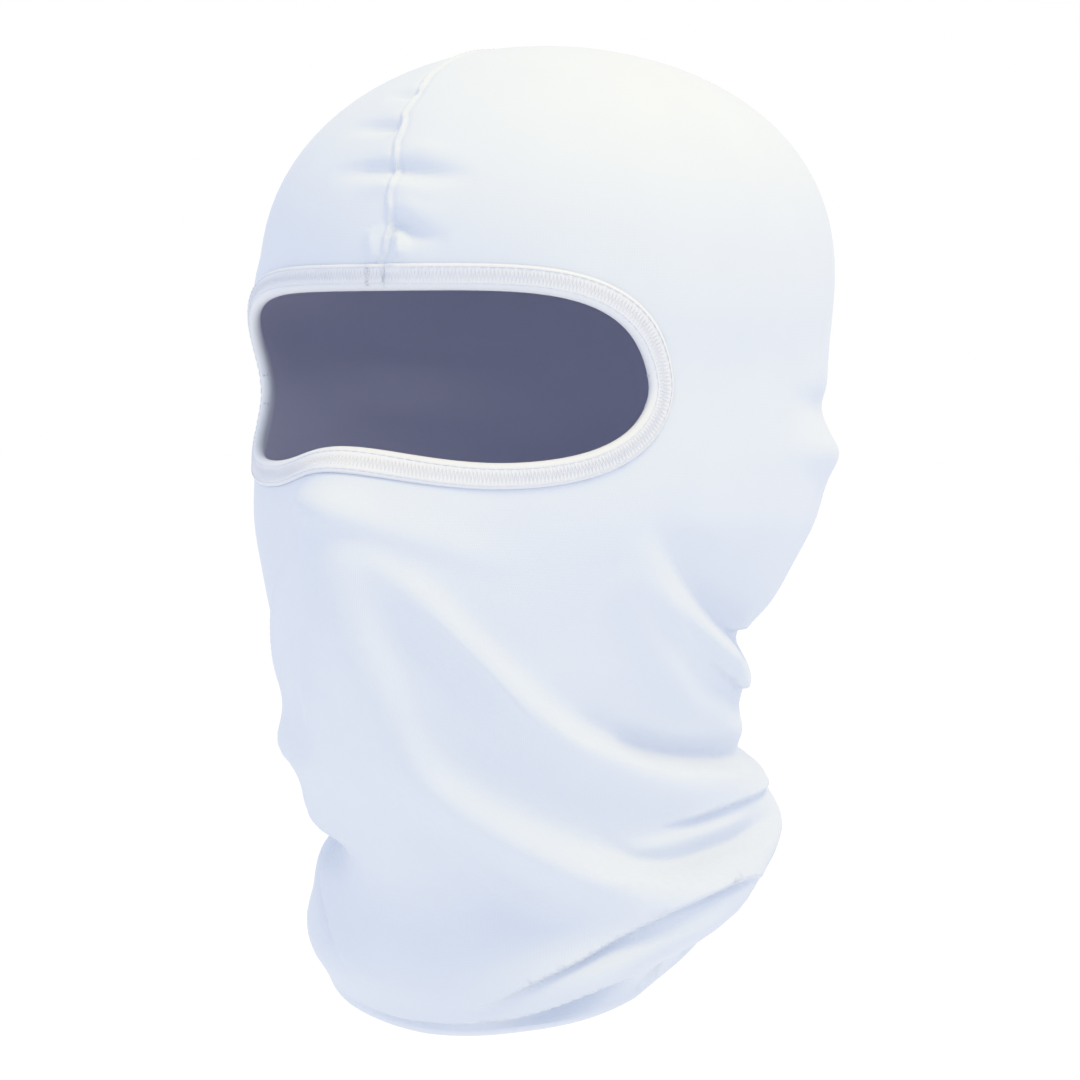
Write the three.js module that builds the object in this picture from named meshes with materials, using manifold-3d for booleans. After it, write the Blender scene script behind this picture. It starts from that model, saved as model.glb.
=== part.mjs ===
// A close-fitting knit balaclava in its worn shape, in millimetres.
// +Z is up, the face looks along -Y and the wearer's left is +X.
// The origin is the centre of the wearer's head, at eye level.
//
// A place on the hood is an angle round the head (0 at the face, 90 at the wearer's left ear, 180 at
// the nape) and a height, measured at the side of the head. Layers lie at offsets from the outer face.
import * as THREE from 'three';
import { mergeVertices } from 'three/addons/utils/BufferGeometryUtils.js';
import Module from 'manifold-3d';

const wasm = await Module();
wasm.setup();

// Heights, and half-sizes as [height, millimetres].
const TOP = 98;
const WIDEST = 30;
const HEM = -161;
const FRONT = [[HEM, 73], [-148, 79], [-134, 76], [-121, 84], [-103, 97], [-80, 107], [-60, 109],
  [-40, 107], [-24, 103], [0, 98], [WIDEST, 94]];
const BACK = [[HEM, 72], [-152, 75], [-143, 74], [-130, 64], [-112, 55], [-90, 53], [-76, 58], [-58, 79],
  [-42, 96], [-26, 105], [-10, 102.5], [8, 103], [WIDEST, 104]];
const SIDE = [[HEM, 62], [-150, 66], [-138, 64], [-120, 59], [-100, 58.5], [-80, 64], [-60, 71], [-40, 76],
  [-20, 79], [0, 79], [WIDEST, 81]];
const DOME = { front: [1.95, 2.05], back: [2.3, 2.15], side: [2.15, 2.1] };
const DROP = [[HEM, 27], [-130, 18], [-90, 5], [-60, 0], [WIDEST, 0]];
const NOSE = [[HEM, 0], [-130, 1], [-100, 4], [-80, 8], [-60, 13.5], [-38, 18], [-28, 16], [-18, 10],
  [-5, 3], [WIDEST, 0]];
const NOSE_WIDTH = [[HEM, 35], [-100, 30], [-60, 22], [-38, 17], [WIDEST, 12]];
const BROW = [[-60, 0], [-24, 0], [-7, -2], [18, 3], [WIDEST, 0], [45, 0]];

// The eye opening: half angle, middle height, reach up and down, and the rise over the nose.
const EYE = { halfAngle: 56.5, middle: -4, up: 28, down: 21.5, noseRise: 5.5, noseHalfAngle: 18 };
const MM_PER_DEGREE = 1.62;

// Layers.
const GAP = 0.3;
const OUTER_CLOTH = 1.2;
const LINING_CLOTH = 0.8;
const BINDING_CLOTH = 0.8;
const BINDING_WIDTH = 7;
const BINDING_CLEARANCE = 0.7;
const INSIDE_CLEARANCE = 1.1;
const HEM_TURN = 12;
const HEM_CLEARANCE = 0.7;
const THREAD = 0.3;

// How finely the pieces are divided.
const COLUMNS = 20;
const BODY_ROWS = 15;
const DOME_ROWS = 6;
const LOOP_STEPS = 60;
const THREAD_SIDES = 5;

const WHITE_KNIT = { color: 0xe6eaf4, roughness: 0.85, metalness: 0 };
const LINING_KNIT = { color: 0xc8cdea, roughness: 0.9, metalness: 0 };
const WHITE_THREAD = { color: 0xeef1f8, roughness: 0.6, metalness: 0 };

const radians = THREE.MathUtils.degToRad;
const clamp = THREE.MathUtils.clamp;

// A smooth curve through [height, value] points that never overshoots them and is level at both ends.
function curve(height, points) {
  const last = points.length - 1;
  const h = clamp(height, points[0][0], points[last][0]);
  let i = 0;
  while (i < last - 1 && h > points[i + 1][0]) i += 1;
  const run = (k) => points[k + 1][0] - points[k][0];
  const slope = (k) => (points[k + 1][1] - points[k][1]) / run(k);
  const tangent = (k) => {
    if (k === 0 || k === last || slope(k - 1) * slope(k) <= 0) return 0;
    const before = 2 * run(k) + run(k - 1);
    const after = run(k) + 2 * run(k - 1);
    return (before + after) / (before / slope(k - 1) + after / slope(k));
  };
  const t = (h - points[i][0]) / run(i);
  return (1 + 2 * t) * (1 - t) ** 2 * points[i][1] + t * (1 - t) ** 2 * run(i) * tangent(i)
    + t * t * (3 - 2 * t) * points[i + 1][1] + t * t * (t - 1) * run(i) * tangent(i + 1);
}

// The outer face of the hood: an egg-shaped head with brow, nose and chin, a neck, and a loose collar.
function surface(angle, height) {
  const a = radians(angle);
  const low = Math.min(height, WIDEST);
  const t = clamp((height - WIDEST) / (TOP - WIDEST), 0, 1);
  const dome = ([inner, outer]) => Math.max(1 - t ** inner, 0) ** (1 / outer);
  const depth = Math.cos(a) > 0 ? curve(low, FRONT) * dome(DOME.front) : curve(low, BACK) * dome(DOME.back);
  const side = curve(low, SIDE) * dome(DOME.side);
  const nose = height > WIDEST ? 0 : curve(low, NOSE) * Math.exp(-((angle / curve(low, NOSE_WIDTH)) ** 2));
  const point = new THREE.Vector3(side * Math.sin(a), -depth * Math.cos(a) - nose, 0);
  const brow = curve(height, BROW) * Math.exp(-(((Math.abs(angle) - 62) / 38) ** 4));
  point.setLength(Math.max(point.length() + brow, 0));
  point.z = height - curve(low, DROP) * Math.cos(a);
  return point;
}

function surfaceNormal(angle, height) {
  if (height > TOP - 0.01) return new THREE.Vector3(0, 0, 1);
  const step = 0.5;
  const round = surface(angle + step, height).sub(surface(angle - step, height));
  const up = surface(angle, Math.min(height + step, TOP)).sub(surface(angle, height - step));
  return round.cross(up).normalize();
}

function layerPoint(angle, height, offset) {
  return surface(angle, height).addScaledVector(surfaceNormal(angle, height), offset);
}

// The eye opening's edge, grown outwards over the cloth by some millimetres: [angle, height].
function eyeEdge(turn, grow) {
  const edge = (t) => {
    const c = Math.cos(t);
    const s = Math.sin(t);
    const side = Math.sign(c) * Math.abs(c) ** 0.75;
    const across = EYE.halfAngle * side;
    const open = 1 - Math.abs(side) ** 5;
    const reach = s > 0 ? EYE.up * open ** 0.625 : -EYE.down * open ** 0.5;
    const rise = EYE.noseRise * Math.max(-s, 0) * Math.exp(-((across / EYE.noseHalfAngle) ** 2));
    return new THREE.Vector2(across * MM_PER_DEGREE, EYE.middle + reach + rise);
  };
  const t = turn * 2 * Math.PI;
  const along = edge(t + 0.02).sub(edge(t - 0.02)).normalize();
  const at = edge(t).add(new THREE.Vector2(along.y, -along.x).multiplyScalar(grow));
  return [at.x / MM_PER_DEGREE, at.y];
}

// Turns of the loop round the eye opening, spread evenly along its edge.
function evenTurns(count) {
  const fine = 720;
  const lengths = [0];
  for (let k = 1; k <= fine; k += 1) {
    const [a0, h0] = eyeEdge((k - 1) / fine, 0);
    const [a1, h1] = eyeEdge(k / fine, 0);
    lengths.push(lengths[k - 1] + Math.hypot((a1 - a0) * MM_PER_DEGREE, h1 - h0));
  }
  return Array.from({ length: count }, (_, k) => {
    const wanted = (k / count) * lengths[fine];
    const next = Math.max(lengths.findIndex((length) => length >= wanted), 1);
    return (next - (lengths[next] - wanted) / (lengths[next] - lengths[next - 1])) / fine;
  });
}

// A solid from a sheet of cells: paired points on its two faces, and cells of 3 or 4 corners that run
// anticlockwise seen from the first face. Its free edges get walls.
function thicken(faceA, faceB, cells) {
  const count = faceA.length;
  const triangles = [];
  const edges = new Map();
  cells.forEach((cell) => {
    for (let k = 1; k < cell.length - 1; k += 1) {
      triangles.push(cell[0], cell[k], cell[k + 1]);
      triangles.push(cell[0] + count, cell[k + 1] + count, cell[k] + count);
    }
    cell.forEach((from, k) => {
      const to = cell[(k + 1) % cell.length];
      edges.set(`${from} ${to}`, [from, to]);
    });
  });
  edges.forEach(([from, to]) => {
    if (edges.has(`${to} ${from}`)) return;
    triangles.push(from, from + count, to + count, from, to + count, to);
  });
  return meshGeometry([...faceA, ...faceB], triangles);
}

// A solid lofted through rings of points; it closes on itself or has flat ends.
function loft(rings, closed) {
  const size = rings[0].length;
  const triangles = [];
  const joins = closed ? rings.length : rings.length - 1;
  for (let r = 0; r < joins; r += 1) {
    const next = (r + 1) % rings.length;
    for (let k = 0; k < size; k += 1) {
      const a = r * size + k;
      const b = r * size + ((k + 1) % size);
      const c = next * size + ((k + 1) % size);
      const d = next * size + k;
      triangles.push(a, b, c, a, c, d);
    }
  }
  if (!closed) {
    const last = (rings.length - 1) * size;
    for (let k = 1; k < size - 1; k += 1) {
      triangles.push(0, k + 1, k, last, last + k, last + k + 1);
    }
  }
  return meshGeometry(rings.flat(), triangles);
}

function meshGeometry(points, triangles) {
  const geometry = new THREE.BufferGeometry();
  geometry.setAttribute('position', new THREE.Float32BufferAttribute(points.flatMap((p) => p.toArray()), 3));
  geometry.setIndex(triangles);
  return geometry;
}

// A thread: a round cord along points, each with the surface normal that its ring is built on.
function thread(stations, radius, closed) {
  const rings = stations.map(({ at, normal }, k) => {
    const before = stations[closed ? (k + stations.length - 1) % stations.length : Math.max(k - 1, 0)].at;
    const after = stations[closed ? (k + 1) % stations.length : Math.min(k + 1, stations.length - 1)].at;
    const along = after.clone().sub(before).normalize();
    const across = along.clone().cross(normal).normalize();
    const up = across.clone().cross(along);
    return Array.from({ length: THREAD_SIDES }, (_, s) => {
      const a = (s / THREAD_SIDES) * 2 * Math.PI;
      return at.clone().addScaledVector(up, radius * Math.cos(a)).addScaledVector(across, radius * Math.sin(a));
    });
  });
  return loft(rings, closed);
}

const station = (angle, height, offset) => (
  { at: layerPoint(angle, height, offset), normal: surfaceNormal(angle, height) });

function toSolid(geometry) {
  const merged = mergeVertices(geometry, 1e-3);
  return new wasm.Manifold(new wasm.Mesh({
    numProp: 3,
    vertProperties: new Float32Array(merged.attributes.position.array),
    triVerts: new Uint32Array(merged.index.array),
  }));
}

function fromSolid(solid) {
  const { vertProperties, triVerts } = solid.getMesh();
  const geometry = new THREE.BufferGeometry();
  geometry.setAttribute('position', new THREE.BufferAttribute(vertProperties, 3));
  geometry.setIndex(new THREE.BufferAttribute(triVerts, 1));
  return geometry;
}

// Everything within the eye opening's edge, from well inside the hood to well outside it.
function eyeCutter(grow) {
  const reach = 8;
  const loops = [1, 0.75, 0.5, 0.25];
  const [midAngle, midHeight] = [0, EYE.middle];
  const places = loops.flatMap((scale) => evenTurns(LOOP_STEPS).map((turn) => {
    const [angle, height] = eyeEdge(turn, grow);
    return [midAngle + (angle - midAngle) * scale, midHeight + (height - midHeight) * scale];
  }));
  places.push([midAngle, midHeight]);
  const cells = [];
  for (let k = 0; k < LOOP_STEPS; k += 1) {
    const next = (k + 1) % LOOP_STEPS;
    for (let ring = 0; ring < loops.length - 1; ring += 1) {
      const a = ring * LOOP_STEPS;
      const b = a + LOOP_STEPS;
      cells.push([a + k, a + next, b + next, b + k]);
    }
    const inner = (loops.length - 1) * LOOP_STEPS;
    cells.push([inner + k, inner + next, places.length - 1]);
  }
  const face = (offset) => places.map(([angle, height]) => layerPoint(angle, height, offset));
  return toSolid(thicken(face(reach), face(-reach), cells));
}

// Heights of the rows from the crown to the hem.
function rowHeights(hem) {
  const dome = Array.from({ length: DOME_ROWS }, (_, k) => (
    WIDEST + (TOP - WIDEST) * Math.cos((k / DOME_ROWS) * Math.PI / 2)));
  const body = Array.from({ length: BODY_ROWS + 1 }, (_, k) => WIDEST + (hem - WIDEST) * (k / BODY_ROWS));
  return [...dome, ...body];
}

// One knit panel, wrapped round from the face so that its two edges meet over the crown and down the
// nape. A row is a height and how far its cloth has turned under at the hem, in degrees.
function panel(rows, facePoint) {
  const columns = Array.from({ length: COLUMNS + 1 }, (_, k) => 180 * (k / COLUMNS) ** 1.2);
  const faceA = [];
  const faceB = [];
  const grid = new Map();
  const corner = (side, row, column) => {
    const whole = column === 0 && rows[row].height < EYE.middle;
    const key = `${whole ? 0 : side} ${row} ${row === 0 ? 0 : column}`;
    if (!grid.has(key)) {
      grid.set(key, faceA.length);
      const onSeam = row === 0 || column === 0 || column === COLUMNS;
      [[faceA, 1], [faceB, -1]].forEach(([face, which]) => {
        const point = facePoint(side * columns[column], rows[row], which);
        if (onSeam) point.x = whole ? 0 : side * GAP / 2;
        face.push(point);
      });
    }
    return grid.get(key);
  };
  const cells = [];
  [1, -1].forEach((side) => {
    for (let row = 0; row < rows.length - 1; row += 1) {
      for (let column = 0; column < COLUMNS; column += 1) {
        const [a, b, c, d] = [corner(side, row + 1, column), corner(side, row + 1, column + 1),
          corner(side, row, column + 1), corner(side, row, column)];
        const cell = side > 0 ? [a, b, c, d] : [c, b, a, d];
        cells.push(cell.filter((index, k) => cell.indexOf(index) === k));
      }
    }
  });
  return toSolid(thicken(faceA, faceB, cells));
}

// The white outer panel. Its lower edge is turned up inside to make the hem.
function outerPanel() {
  const turnMiddle = -OUTER_CLOTH - (GAP + LINING_CLOTH + HEM_CLEARANCE) / 2;
  const turnRadius = -turnMiddle - OUTER_CLOTH / 2;
  const rows = rowHeights(HEM).map((height) => ({ height, turned: 0 }));
  [45, 90, 135].forEach((turned) => rows.push({ height: HEM, turned }));
  [0, HEM_TURN].forEach((rise) => rows.push({ height: HEM + rise, turned: 180 }));
  const facePoint = (angle, { height, turned }, which) => {
    const reach = turnRadius + which * OUTER_CLOTH / 2;
    const offset = turnMiddle + reach * Math.cos(radians(turned));
    const point = layerPoint(angle, height, offset);
    point.z -= reach * Math.sin(radians(turned));
    return point;
  };
  return fromSolid(panel(rows, facePoint).subtract(eyeCutter(1.5)));
}

// The lining, cut like the outer panel; its lower edge ends inside the hem's turn.
function liningPanel() {
  const rows = rowHeights(HEM).map((height) => ({ height }));
  const top = -OUTER_CLOTH - GAP;
  const facePoint = (angle, { height }, which) => (
    layerPoint(angle, height, top - (which > 0 ? 0 : LINING_CLOTH)));
  return fromSolid(panel(rows, facePoint).subtract(eyeCutter(1.5)));
}

// The folded knit strip that wraps the cut edges of both panels all round the eye opening.
function eyeBinding() {
  const outside = BINDING_CLEARANCE;
  const inside = -OUTER_CLOTH - GAP - LINING_CLOTH - INSIDE_CLEARANCE;
  const c = BINDING_CLOTH;
  const w = BINDING_WIDTH;
  const section = [[w, outside], [w, outside + c], [w / 2, outside + c], [0.6, outside + c], [0, outside],
    [0, inside], [0.6, inside - c], [w / 2, inside - c], [w, inside - c], [w, inside],
    [w / 2, inside], [c, inside], [c, outside], [w / 2, outside]];
  const rings = evenTurns(LOOP_STEPS).map((turn) => section.map(([grow, offset]) => {
    const [angle, height] = eyeEdge(turn, grow);
    return layerPoint(angle, height, offset);
  }).reverse());
  return loft(rings, true);
}

const ON_BINDING = BINDING_CLEARANCE + BINDING_CLOTH + 2 * GAP + THREAD;

// A row of needle stitches along the binding.
function bindingNeedleThread(grow) {
  return thread(evenTurns(LOOP_STEPS).map((turn) => station(...eyeEdge(turn, grow), ON_BINDING)), THREAD, true);
}

// The cover thread that zigzags over the binding between its two needle rows.
function bindingCoverThread(inner, outer) {
  const turns = evenTurns(LOOP_STEPS * 2);
  const stations = turns.map((turn, k) => station(...eyeEdge(turn, k % 2 ? outer : inner), ON_BINDING));
  return thread(stations, THREAD, true);
}

// The dense bar of stitches that closes the lap of the binding's ends, beside the crown seam.
function bindingJoinTack() {
  const bars = 5;
  const stations = Array.from({ length: bars * 2 }, (_, k) => {
    const angle = -4.4 + (k % 2 ? 1.4 : 0);
    const height = EYE.middle + EYE.up + 1.2 + (k / (bars * 2 - 1)) * (BINDING_WIDTH - 2.4);
    return station(angle, height, ON_BINDING + 2 * THREAD + GAP);
  });
  return thread(stations, THREAD, false);
}

// Stations along the seam: up from the eye opening, over the crown and down the nape.
function seamStations(offset, startAbove, endAbove) {
  const steps = 14;
  const start = EYE.middle + EYE.up + startAbove;
  const rise = Array.from({ length: steps }, (_, k) => (
    station(0, start + (TOP - start) * Math.sin((k / steps) * Math.PI / 2), offset)));
  const fall = rowHeights(HEM + endAbove).map((height) => station(180, height, offset));
  return [...rise, ...fall];
}

function seamNeedleThread() {
  return thread(seamStations(GAP + 2 * THREAD, BINDING_WIDTH + 2, 0), 2 * THREAD, false);
}

function seamOverlockThread() {
  const inside = -OUTER_CLOTH - GAP - LINING_CLOTH - 4 * GAP - 2 * THREAD;
  return thread(seamStations(inside, BINDING_WIDTH + 2, HEM_TURN + 2), 2 * THREAD, false);
}

// The thread that catches the hem's turned edge from inside, so that no stitch shows outside.
function hemBlindThread() {
  const offset = -2 * OUTER_CLOTH - GAP - LINING_CLOTH - HEM_CLEARANCE - 3 * GAP - THREAD;
  const steps = 48;
  const stations = Array.from({ length: steps }, (_, k) => (
    station(-180 + (360 * k) / steps, HEM + HEM_TURN - 2, offset)));
  return thread(stations, THREAD, true);
}

// A short bar of stitches across the seam's end at the hem.
function seamEndTack() {
  const bars = 4;
  const stations = Array.from({ length: bars * 2 }, (_, k) => (
    station(180 + (k % 2 ? 2.2 : -2.2), HEM + 2 + k, 2 * GAP + 5 * THREAD + GAP)));
  return thread(stations, THREAD, false);
}

const PIECES = [
  ['outer_panel', outerPanel(), WHITE_KNIT],
  ['lining_panel', liningPanel(), LINING_KNIT],
  ['eye_binding', eyeBinding(), WHITE_KNIT],
  ['binding_edge_thread', bindingNeedleThread(6.2), WHITE_THREAD],
  ['binding_rim_thread', bindingNeedleThread(1.4), WHITE_THREAD],
  ['binding_cover_thread', bindingCoverThread(2.4, 5), WHITE_THREAD],
  ['binding_join_tack', bindingJoinTack(), WHITE_THREAD],
  ['seam_needle_thread', seamNeedleThread(), WHITE_THREAD],
  ['seam_overlock_thread', seamOverlockThread(), WHITE_THREAD],
  ['seam_end_tack', seamEndTack(), WHITE_THREAD],
  ['hem_blind_thread', hemBlindThread(), WHITE_THREAD],
];

const balaclava = new THREE.Group();
PIECES.forEach(([name, geometry, look]) => {
  const mesh = new THREE.Mesh(geometry, new THREE.MeshStandardMaterial(look));
  mesh.name = name;
  balaclava.add(mesh);
});

export default balaclava;
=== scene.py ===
import math

import bpy
import numpy as np
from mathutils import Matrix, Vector


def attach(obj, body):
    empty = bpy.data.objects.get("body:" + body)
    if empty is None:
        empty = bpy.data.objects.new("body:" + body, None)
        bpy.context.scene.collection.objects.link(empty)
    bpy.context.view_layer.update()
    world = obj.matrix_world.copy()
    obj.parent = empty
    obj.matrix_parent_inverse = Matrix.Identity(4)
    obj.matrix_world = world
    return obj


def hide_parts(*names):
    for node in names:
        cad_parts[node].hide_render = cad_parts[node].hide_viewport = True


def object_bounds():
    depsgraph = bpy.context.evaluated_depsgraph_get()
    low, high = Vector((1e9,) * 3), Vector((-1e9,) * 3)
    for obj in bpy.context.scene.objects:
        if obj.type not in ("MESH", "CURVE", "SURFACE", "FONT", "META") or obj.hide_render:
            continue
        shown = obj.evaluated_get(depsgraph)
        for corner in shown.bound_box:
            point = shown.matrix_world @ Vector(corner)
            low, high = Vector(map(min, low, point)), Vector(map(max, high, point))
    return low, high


# A white knit balaclava in its worn shape, built round its frame: the outer panel and its lining, the
# seam over the crown, the binding round the eye opening and its stitches, and the neck hem.
# Shapes are worked out in millimetres, as the cloth is cut, and turned into metres when a mesh is made.
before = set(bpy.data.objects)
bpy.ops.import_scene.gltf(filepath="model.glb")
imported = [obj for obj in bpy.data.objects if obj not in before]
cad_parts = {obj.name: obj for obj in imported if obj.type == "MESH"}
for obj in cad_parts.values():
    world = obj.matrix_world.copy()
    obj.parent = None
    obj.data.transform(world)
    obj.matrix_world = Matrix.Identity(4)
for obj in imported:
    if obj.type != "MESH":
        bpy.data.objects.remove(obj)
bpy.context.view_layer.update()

# ---------------------------------------------------------------------------------------------------
# Outer panel: thin white polyester and elastane jersey, cut in one piece on the centre-front fold and
# wrapped round so that its edges meet over the crown and down the nape. On the head it is stretched
# smooth over the skull and hangs in soft swags from the nose and the cheeks to the nape.
# ---------------------------------------------------------------------------------------------------
METRES = 0.001
CLOTH = 0.7
TOP, WIDEST, HEM = 98.0, 30.0, -161.0
EYE_MIDDLE, EYE_UP, EYE_DOWN, EYE_HALF_ANGLE, EYE_NOSE_RISE = -4.0, 28.0, 21.5, 56.5, 5.5
NOSE_RISE_REACH = 18.0
MM_PER_DEGREE = 1.62

# Half-sizes of the head and neck as (height, millimetres), from the hem up to the widest level. Above
# that DOME gives each half-size's curve. DROP is how far the hood hangs lower in front, most of all at the
# angle LOWEST. NOSE stands out over NOSE_WIDTH degrees, and BROW round the temples, less on the left.
FRONT = [(HEM, 73), (-148, 79), (-134, 76), (-121, 84), (-103, 97), (-80, 107), (-60, 109),
         (-40, 107), (-24, 103), (0, 98), (WIDEST, 94)]
BACK = [(HEM, 72), (-152, 75), (-143, 74), (-130, 64), (-112, 55), (-90, 53), (-76, 58), (-58, 79),
        (-42, 96), (-26, 105), (-10, 102.5), (8, 103), (WIDEST, 104)]
SIDE = [(HEM, 62), (-150, 66), (-138, 64), (-120, 59), (-100, 58.5), (-80, 64), (-60, 71), (-40, 77.5),
        (-20, 79), (0, 79), (WIDEST, 81.4)]
DOME = {"front": (1.9, 2.0), "back": (2.4, 2.25), "side": (2.15, 2.1)}
DROP = [(HEM, 27), (-130, 18), (-90, 5), (-60, 0), (WIDEST, 0)]
NOSE = [(HEM, 0), (-130, 1), (-100, 4), (-80, 8), (-60, 13.5), (-38, 18), (-28, 16), (-18, 10),
        (-5, 3), (WIDEST, 0)]
NOSE_WIDTH = [(HEM, 35), (-100, 30), (-60, 22), (-38, 17), (WIDEST, 12)]
BROW = [(-60, 0), (-24, 0), (-7, -0.8), (18, 3), (28, 1.6), (37, 0)]
BROW_MIDDLE, BROW_REACH, BROW_LEFT_SHARE = 62.0, 38.0, 0.35
LOWEST = 10.0


def curve(x, knots):
    """A smooth curve through (x, value) knots that never overshoots them and is level at both ends."""
    xs, ys = np.array(sorted(knots), float).T
    run, slope = np.diff(xs), np.diff(ys) / np.diff(xs)
    tangent = np.zeros(len(xs))
    before, after = 2 * run[1:] + run[:-1], run[1:] + 2 * run[:-1]
    same = slope[:-1] * slope[1:] > 0
    safe = np.where(slope == 0, 1, slope)
    tangent[1:-1] = np.where(same, (before + after) / (before / safe[:-1] + after / safe[1:]), 0)
    x = np.clip(x, xs[0], xs[-1])
    i = np.clip(np.searchsorted(xs, x) - 1, 0, len(xs) - 2)
    t = (x - xs[i]) / run[i]
    return ((1 + 2 * t) * (1 - t) ** 2 * ys[i] + t * (1 - t) ** 2 * run[i] * tangent[i]
            + t * t * (3 - 2 * t) * ys[i + 1] + t * t * (t - 1) * run[i] * tangent[i + 1])


def head(angle, height):
    """The smooth hood, in millimetres: angle in degrees round from the face to the wearer's left."""
    angle, height = np.broadcast_arrays(np.asarray(angle, float), np.asarray(height, float))
    a = np.radians(angle)
    low = np.minimum(height, WIDEST)
    t = np.clip((height - WIDEST) / (TOP - WIDEST), 0, 1)
    dome = {k: np.maximum(1 - t ** p, 0) ** (1 / q) for k, (p, q) in DOME.items()}
    depth = np.where(np.cos(a) > 0, curve(low, FRONT) * dome["front"], curve(low, BACK) * dome["back"])
    side = curve(low, SIDE) * dome["side"]
    nose = np.where(height > WIDEST, 0, curve(low, NOSE) * np.exp(-(angle / curve(low, NOSE_WIDTH)) ** 2))
    x, y = side * np.sin(a), -depth * np.cos(a) - nose
    brow = curve(height, BROW) * np.exp(-((np.abs(angle) - BROW_MIDDLE) / BROW_REACH) ** 4)
    grow = 1 + brow * np.where(angle > 0, BROW_LEFT_SHARE, 1) / np.maximum(np.hypot(x, y), 1e-6)
    return np.stack([x * grow, y * grow, height - curve(low, DROP) * np.cos(a - math.radians(LOWEST))], -1)


def outward(angle, height):
    """The smooth hood's outward direction."""
    step = 0.4
    under = np.minimum(height, TOP - step)
    round_it = head(angle + step, under) - head(angle - step, under)
    up = head(angle, np.minimum(under + step, TOP)) - head(angle, under - step)
    out = np.cross(round_it, up)
    out /= np.linalg.norm(out, axis=-1, keepdims=True)
    pole = np.clip((np.asarray(height) - (TOP - 2 * step)) / (2 * step), 0, 1)[..., None]
    out = out * (1 - pole) + np.array([0, 0, 1]) * pole
    return out / np.linalg.norm(out, axis=-1, keepdims=True)


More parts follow.
